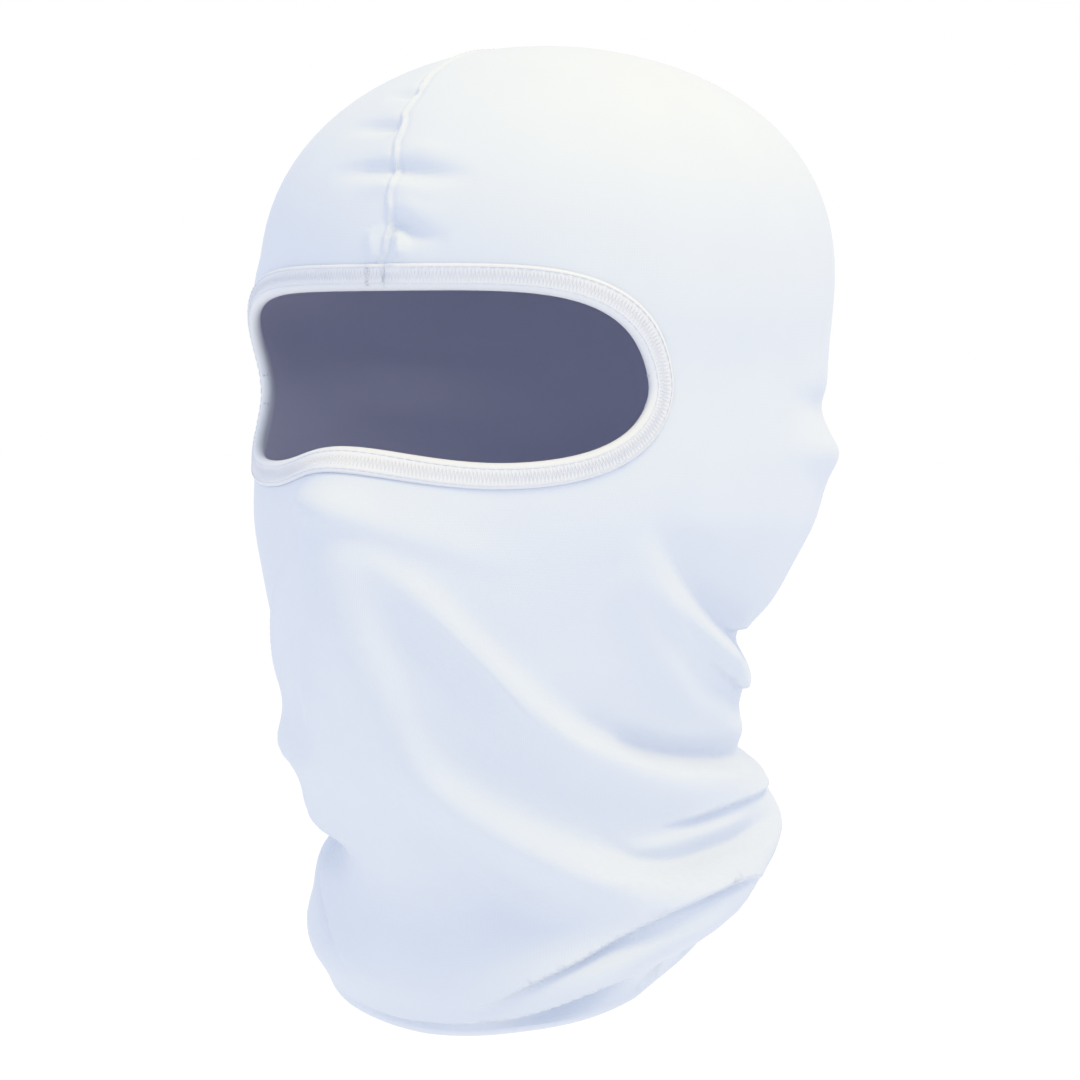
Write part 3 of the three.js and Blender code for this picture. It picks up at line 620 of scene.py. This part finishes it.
# ---------------------------------------------------------------------------------------------------
# Stitches: textured polyester thread, 0.3 mm thick, that bows a little between its needle holes. Two
# needle rows and a cover thread hold the binding and a bar closes its lap. The seam has a needle row, an
# overlocked edge inside and a bar at its end, and the hem's turned edge is caught from inside.
# ---------------------------------------------------------------------------------------------------
sewing_thread = knit("white textured polyester thread", "#dde2f0", "#d3d9ea", gauge=0.3, bump=0.2,
                     roughness=0.6, sheen=0.2)


def stitch_tree():
    """Thread along a path: its needle holes are a Pitch apart and swing to both sides. Between two holes
    the thread bows out as a parabola, Bow high in the middle, or up to a quarter of Unevenness higher."""
    tree = bpy.data.node_groups.new("row of stitches", "GeometryNodeTree")
    sockets = [("Path", "Geometry"), ("Pitch", "Float"), ("Swing", "Float"), ("Thread radius", "Float"),
               ("Bow", "Float"), ("Sink", "Float"), ("Gap", "Float"), ("Unevenness", "Float"),
               ("Seed", "Int"), ("Thread", "Material")]
    for name, kind in sockets:
        tree.interface.new_socket(name, in_out="INPUT", socket_type="NodeSocket" + kind)
    tree.interface.new_socket("Stitches", in_out="OUTPUT", socket_type="NodeSocketGeometry")
    given = node(tree, "NodeGroupInput").outputs
    vector = {"data_type": "FLOAT_VECTOR"}
    out = node(tree, "GeometryNodeInputNamedAttribute", vector, Name="out").outputs[0]
    side = node(tree, "GeometryNodeInputNamedAttribute", vector, Name="side").outputs[0]
    line = node(tree, "GeometryNodeMeshToCurve", Mesh=given["Path"])
    holes = node(tree, "GeometryNodeResampleCurve", {"mode": "LENGTH"}, Curve=line.outputs[0],
                 Length=given["Pitch"])
    odd = node(tree, "ShaderNodeMath", {"operation": "MODULO"},
               _0=node(tree, "GeometryNodeInputIndex").outputs[0], _1=2.0)
    sign = node(tree, "ShaderNodeMath", {"operation": "MULTIPLY_ADD"}, _0=odd.outputs[0], _1=2.0, _2=-1.0)
    swing = node(tree, "ShaderNodeMath", {"operation": "MULTIPLY"}, _0=sign.outputs[0], _1=given["Swing"])
    aside = node(tree, "ShaderNodeVectorMath", {"operation": "SCALE"}, _0=side, Scale=swing.outputs[0])
    swung = node(tree, "GeometryNodeSetPosition", Geometry=holes.outputs[0], Offset=aside.outputs[0])
    edges = node(tree, "GeometryNodeCurveToMesh", Curve=swung.outputs[0])
    apart = node(tree, "GeometryNodeSplitEdges", Mesh=edges.outputs[0])
    stitch = node(tree, "GeometryNodeMeshToCurve", Mesh=apart.outputs[0])
    far = node(tree, "ShaderNodeMath", {"operation": "SUBTRACT"}, _0=1.0, _1=given["Gap"])
    trimmed = node(tree, "GeometryNodeTrimCurve", {"mode": "FACTOR"}, Curve=stitch.outputs[0],
                   Start=given["Gap"], End=far.outputs[0])
    fine = node(tree, "GeometryNodeResampleCurve", {"mode": "COUNT"}, Curve=trimmed.outputs[0], Count=6)
    along = node(tree, "GeometryNodeSplineParameter").outputs["Factor"]
    back = node(tree, "ShaderNodeMath", {"operation": "SUBTRACT"}, _0=1.0, _1=along)
    arch = node(tree, "ShaderNodeMath", {"operation": "MULTIPLY"}, _0=along, _1=back.outputs[0])
    which = node(tree, "GeometryNodeCurveOfPoint").outputs["Curve Index"]
    chance = node(tree, "FunctionNodeRandomValue", {"data_type": "FLOAT"}, ID=which, Seed=given["Seed"])
    uneven = node(tree, "ShaderNodeMath", {"operation": "MULTIPLY_ADD"}, _0=chance.outputs[1],
                  _1=given["Unevenness"], _2=4.0)
    bow = node(tree, "ShaderNodeMath", {"operation": "MULTIPLY"}, _0=given["Bow"], _1=uneven.outputs[0])
    lift = node(tree, "ShaderNodeMath", {"operation": "MULTIPLY"}, _0=arch.outputs[0], _1=bow.outputs[0])
    height = node(tree, "ShaderNodeMath", {"operation": "SUBTRACT"}, _0=lift.outputs[0], _1=given["Sink"])
    rise = node(tree, "ShaderNodeVectorMath", {"operation": "SCALE"}, _0=out, Scale=height.outputs[0])
    bowed = node(tree, "GeometryNodeSetPosition", Geometry=fine.outputs[0], Offset=rise.outputs[0])
    ring = node(tree, "GeometryNodeCurvePrimitiveCircle", {"mode": "RADIUS"}, Resolution=5,
                Radius=given["Thread radius"])
    solid = node(tree, "GeometryNodeCurveToMesh", Curve=bowed.outputs[0], Profile_Curve=ring.outputs[0],
                 Fill_Caps=True)
    smooth = node(tree, "GeometryNodeSetShadeSmooth", Geometry=solid.outputs[0])
    real = node(tree, "GeometryNodeRealizeInstances", Geometry=smooth.outputs[0])
    finished = node(tree, "GeometryNodeSetMaterial", Geometry=real.outputs[0], Material=given["Thread"])
    node(tree, "NodeGroupOutput", Stitches=finished.outputs[0])
    return tree


STITCHES = stitch_tree()


def sew(name, replaced, path, closed, seed, **sizes):
    """A row of stitches along a path of (angle, height, offset), in millimetres, for one thread."""
    angle, height, offset = np.array(path, float).T
    points, out = cloth(angle, height, offset, False), outward(angle, height)
    along = np.roll(points, -1, 0) - np.roll(points, 1, 0) if closed else np.gradient(points, axis=0)
    side = np.cross(out, along)
    side /= np.linalg.norm(side, axis=1, keepdims=True)
    mesh = bpy.data.meshes.new(name)
    count = len(points)
    edges = [(k, (k + 1) % count) for k in range(count if closed else count - 1)]
    mesh.from_pydata((points * METRES).tolist(), edges, [])
    for label, vectors in (("out", out), ("side", side)):
        stored = mesh.attributes.new(label, "FLOAT_VECTOR", "POINT")
        stored.data.foreach_set("vector", vectors.astype(np.float32).ravel())
    path_object = bpy.data.objects.new(name + "_path", mesh)
    bpy.context.scene.collection.objects.link(path_object)
    modifier = path_object.modifiers.new("stitches", "NODES")
    modifier.node_group = STITCHES
    given = {"Seed": seed, "Thread": sewing_thread, "Unevenness": 1.0, "Gap": 0.06}
    given.update({key.replace("_", " "): value * METRES for key, value in sizes.items()})
    for socket in STITCHES.interface.items_tree:
        if socket.in_out == "INPUT" and socket.name in given:
            modifier[socket.identifier] = given[socket.name]
    graph = bpy.context.evaluated_depsgraph_get()
    made_mesh = bpy.data.meshes.new_from_object(path_object.evaluated_get(graph))
    made = bpy.data.objects.new(name, made_mesh)
    bpy.context.scene.collection.objects.link(made)
    bpy.data.objects.remove(path_object)
    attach(made, "root")
    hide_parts(replaced)
    return made


def round_eye(grow, offset, count=600):
    """A path round the eye opening."""
    angle, height = eye_edge(even_turns(count), grow)
    return np.stack([angle, height, np.full(count, offset)], -1)


def down_seam(first, last, offset):
    """A path along the seam between two of its points."""
    rows = SEAM.rows[first:last:3]
    return np.stack([rows[:, 0], rows[:, 1], np.full(len(rows), offset)], -1)


sew("binding_edge_stitches", "binding_edge_thread", round_eye(6.4, 0.98), True, 1, Pitch=2.6, Swing=0.0,
    Thread_radius=0.16, Bow=0.12, Sink=0.05)
sew("binding_rim_stitches", "binding_rim_thread", round_eye(1.7, 1.0), True, 2, Pitch=2.6, Swing=0.0,
    Thread_radius=0.15, Bow=0.1, Sink=0.05)
sew("binding_cover_stitches", "binding_cover_thread", round_eye(4.0, 1.0), True, 3, Pitch=0.55, Swing=2.0,
    Thread_radius=0.14, Bow=0.1, Sink=0.06)
tack_height = EYE_MIDDLE + EYE_UP
sew("binding_join_bar", "binding_join_tack",
    [(-2.6, tack_height + up, 1.1) for up in np.linspace(0.8, 6.8, 12)], False, 4, Pitch=0.45, Swing=0.8,
    Thread_radius=0.15, Bow=0.08, Sink=0.0)
# The seam's rows start under the binding. The needle row runs down to the hem's edge, and the overlocked
# one stops where the hem is turned up over it.
seam_start = int(np.searchsorted(SEAM_RUN, 5.5))
needle_end, overlock_end = len(SEAM.rows) - 4, len(SEAM.rows) - 30
sew("seam_needle_stitches", "seam_needle_thread", down_seam(seam_start, needle_end, SEAM_RIDGE - 0.45),
    False, 5, Pitch=2.8, Swing=0.0, Thread_radius=0.15, Bow=0.15, Sink=0.1)
sew("seam_overlock_stitches", "seam_overlock_thread", down_seam(seam_start, overlock_end, -CLOTH - 1.1),
    False, 6, Pitch=1.4, Swing=1.8, Thread_radius=0.2, Bow=0.1, Sink=0.15)
sew("seam_end_bar", "seam_end_tack", [(NAPE, HEM + up, 0.6) for up in np.linspace(1.5, 9, 12)], False, 7,
    Pitch=0.6, Swing=1.6, Thread_radius=0.18, Bow=0.1, Sink=0.0)
round_hem = [(angle, HEM + 8.5, -2 * CLOTH - 2.9) for angle in np.linspace(-NAPE, NAPE, 240, endpoint=False)]
sew("hem_blind_stitches", "hem_blind_thread", round_hem, True, 8, Pitch=3.2, Swing=0.9, Thread_radius=0.16,
    Bow=0.15, Sink=0.0)

# ---------------------------------------------------------------------------------------------------
# Setting: a pale paper floor well below the hood, even white light from all round, and one large warm
# lamp over the wearer's left. The camera looks from the wearer's left front, a little from above.
# ---------------------------------------------------------------------------------------------------
def plain(name, colour, roughness, glow):
    """A plain matt finish that glows a little."""
    material = bpy.data.materials.new(name)
    material.use_nodes = True
    surface = material.node_tree.nodes["Principled BSDF"]
    surface.inputs["Base Color"].default_value = srgb(colour)
    surface.inputs["Roughness"].default_value = roughness
    surface.inputs["Emission Color"].default_value = (1, 1, 1, 1)
    surface.inputs["Emission Strength"].default_value = glow
    return material


FLOOR_SIZE, FLOOR_DROP = 40000.0, 250.0
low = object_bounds()[0][2] / METRES - FLOOR_DROP
half = FLOOR_SIZE / 2
floor = new_mesh("floor", [(-half, -half, low), (half, -half, low), (half, half, low), (-half, half, low)],
                 [(0, 1, 2, 3)], plain("white paper floor", "#f2f2f4", 1.0, 0.14))

world = bpy.data.worlds.new("studio")
world.use_nodes = True
world.node_tree.nodes["Background"].inputs["Color"].default_value = (1, 1, 1, 1)
world.node_tree.nodes["Background"].inputs["Strength"].default_value = 1.0
bpy.context.scene.world = world


def aimed(made, place, target):
    """Puts a lamp or camera at a place, looking at a target, both in millimetres."""
    made.location = Vector(place) * METRES
    made.rotation_euler = (Vector(target) - Vector(place)).to_track_quat("-Z", "Y").to_euler()
    bpy.context.scene.collection.objects.link(made)
    return made


def soft_lamp(name, place, size, power, colour):
    """A square lamp, its size in metres and its power in watts, aimed at the hood's middle."""
    lamp = bpy.data.lights.new(name, "AREA")
    lamp.size, lamp.energy, lamp.color = size, power, srgb(colour)[:3]
    return aimed(bpy.data.objects.new(name, lamp), place, (0, 0, -40))


soft_lamp("key_lamp", (680, -150, 1250), 0.5, 8.8, "#ffde73")

YAW, PITCH, DISTANCE, TARGET, VIEW = 30.0, 2.0, 1400.0, (-1.6, -0.9, -49.5), 324.0
SENSOR = 36.0
yaw, pitch = math.radians(YAW), math.radians(PITCH)
back = np.array([math.sin(yaw) * math.cos(pitch), -math.cos(yaw) * math.cos(pitch), math.sin(pitch)])
lens = bpy.data.cameras.new("camera")
lens.sensor_width, lens.lens = SENSOR, SENSOR * DISTANCE / VIEW
camera = aimed(bpy.data.objects.new("camera", lens), np.array(TARGET) + back * DISTANCE, TARGET)
bpy.context.scene.camera = camera
bpy.context.scene.view_settings.view_transform = "Standard"
